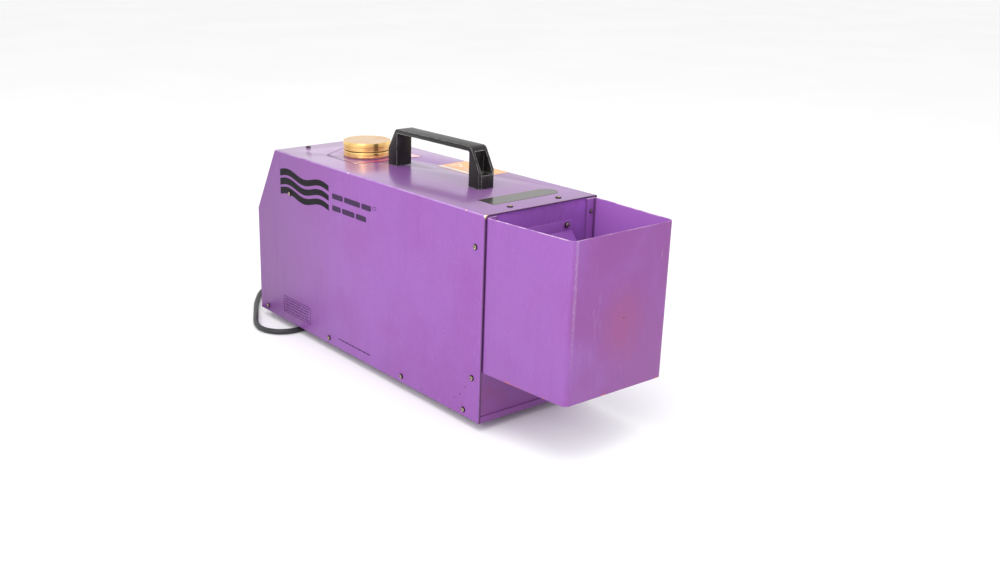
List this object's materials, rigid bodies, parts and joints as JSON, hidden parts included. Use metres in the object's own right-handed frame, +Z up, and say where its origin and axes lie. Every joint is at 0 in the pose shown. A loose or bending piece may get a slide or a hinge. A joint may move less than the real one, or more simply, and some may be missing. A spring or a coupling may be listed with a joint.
{
  "type": "haze generator",
  "caption": "Sheet metal haze and fog machine with a sloping control panel, bridge handle, brass filler cap and a tapered outlet hood.",
  "frame": {"origin": "under the middle of the machine, cord left out, on the surface its feet stand on", "axes": "+X forward through the outlet hood, +Y to the machine's left, +Z up"},
  "size_m": [0.9058, 0.3139, 0.3648],
  "materials": {
    "painted_case": "semi-gloss purple powder coat, worn at the edges",
    "zinc_sheet": "zinc plated sheet",
    "handle_nylon": "satin charcoal glass-filled nylon",
    "foot_rubber": "matt black",
    "filler_brass": "worn brass",
    "inner_brass": "turned brass",
    "gasket_rubber": "matt",
    "reservoir_plastic": "natural moulded plastic",
    "black_plastic": "moulded",
    "knob_plastic": "satin black",
    "guard_wire": "bright plated",
    "motor_steel": "dark enamel",
    "cast_aluminium": "as cast",
    "hose_rubber": "smooth",
    "gauge_steel": "polished bezel with a pale dial",
    "needle_red": "matt red",
    "lens_glass": "clear",
    "lamp_lens": "clear red",
    "circuit_board": "green board with components",
    "cord_rubber": "satin black sheath",
    "plug_plastic": "moulded black with plated pins",
    "screw_steel": "zinc and brass tinted plating"
  },
  "bodies": {
    "chassis": {"cover_shell": "painted_case", "front_panel": "painted_case", "rear_panel": "painted_case", "outlet_hood": "painted_case", "outlet_cowl": "painted_case", "base_tray": "zinc_sheet", "reservoir_strap": "zinc_sheet", "handle": "handle_nylon", "foot_rear_right": "foot_rubber", "foot_rear_left": "foot_rubber", "foot_front_right": "foot_rubber", "foot_front_left": "foot_rubber", "compressor_mount_rear": "foot_rubber", "compressor_mount_front": "foot_rubber", "filler_neck": "filler_brass", "atomiser": "inner_brass", "pressure_regulator": "inner_brass", "reservoir": "reservoir_plastic", "haze_duct": "black_plastic", "fan_frame": "black_plastic", "switch_frame": "black_plastic", "cord_gland": "black_plastic", "fan_guard": "guard_wire", "compressor_motor": "motor_steel", "power_supply": "motor_steel", "compressor_head": "cast_aluminium", "supply_hose": "hose_rubber", "atomiser_hose": "hose_rubber", "pressure_gauge": "gauge_steel", "gauge_lens": "lens_glass", "ready_lamp": "lamp_lens", "control_board": "circuit_board", "power_cord": "cord_rubber", "cord_coil": "cord_rubber", "power_plug": "plug_plastic", "screw_right_1": "screw_steel", "screw_right_2": "screw_steel", "screw_right_3": "screw_steel", "screw_right_4": "screw_steel", "screw_right_5": "screw_steel", "screw_right_6": "screw_steel", "screw_right_7": "screw_steel", "screw_left_1": "screw_steel", "screw_left_2": "screw_steel", "screw_left_3": "screw_steel", "screw_left_4": "screw_steel", "screw_left_5": "screw_steel", "screw_left_6": "screw_steel", "screw_left_7": "screw_steel", "screw_top_1": "screw_steel", "screw_top_2": "screw_steel", "screw_top_3": "screw_steel", "screw_top_4": "screw_steel"},
    "cap_seal": {"cap_gasket": "gasket_rubber"},
    "cap": {"filler_cap": "filler_brass"},
    "fan": {"fan_rotor": "black_plastic"},
    "rocker": {"power_rocker": "knob_plastic"},
    "pressure_knob": {"regulator_knob": "knob_plastic"},
    "fan_speed_knob": {"speed_knob": "knob_plastic"},
    "needle": {"gauge_needle": "needle_red"}
  },
  "joints": [
    {"name": "cap_lift", "type": "slide", "parent": "chassis", "child": "cap_seal", "axis": [0, 0, 1], "range_m": [0, 0.012]},
    {"name": "cap_turn", "type": "hinge", "parent": "cap_seal", "child": "cap", "pos_m": [-0.1885, 0, 0.3177], "axis": [0, 0, 1], "range_deg": [0, 1080]},
    {"name": "fan_spin", "type": "hinge", "parent": "chassis", "child": "fan", "pos_m": [0.213, 0, 0.177], "axis": [1, 0, 0], "continuous": true},
    {"name": "power_rock", "type": "hinge", "parent": "chassis", "child": "rocker", "pos_m": [-0.34029, 0.06, 0.25349], "axis": [0, -1, 0], "range_deg": [0, 18]},
    {"name": "pressure_turn", "type": "hinge", "parent": "chassis", "child": "pressure_knob", "pos_m": [-0.35016, 0, 0.2361], "axis": [0.8697, 0, -0.4936], "range_deg": [0, 270]},
    {"name": "fan_speed_turn", "type": "hinge", "parent": "chassis", "child": "fan_speed_knob", "pos_m": [-0.34029, -0.06, 0.25349], "axis": [0.8697, 0, -0.4936], "range_deg": [0, 270]},
    {"name": "gauge_swing", "type": "hinge", "parent": "chassis", "child": "needle", "pos_m": [-0.33137, 0, 0.27832], "axis": [0.8697, 0, -0.4936], "range_deg": [0, 270]}
  ],
  "couplings": [
    {"joint": "cap_lift", "follows": "cap_turn", "m_per_rad": 0.00063662}
  ]
}
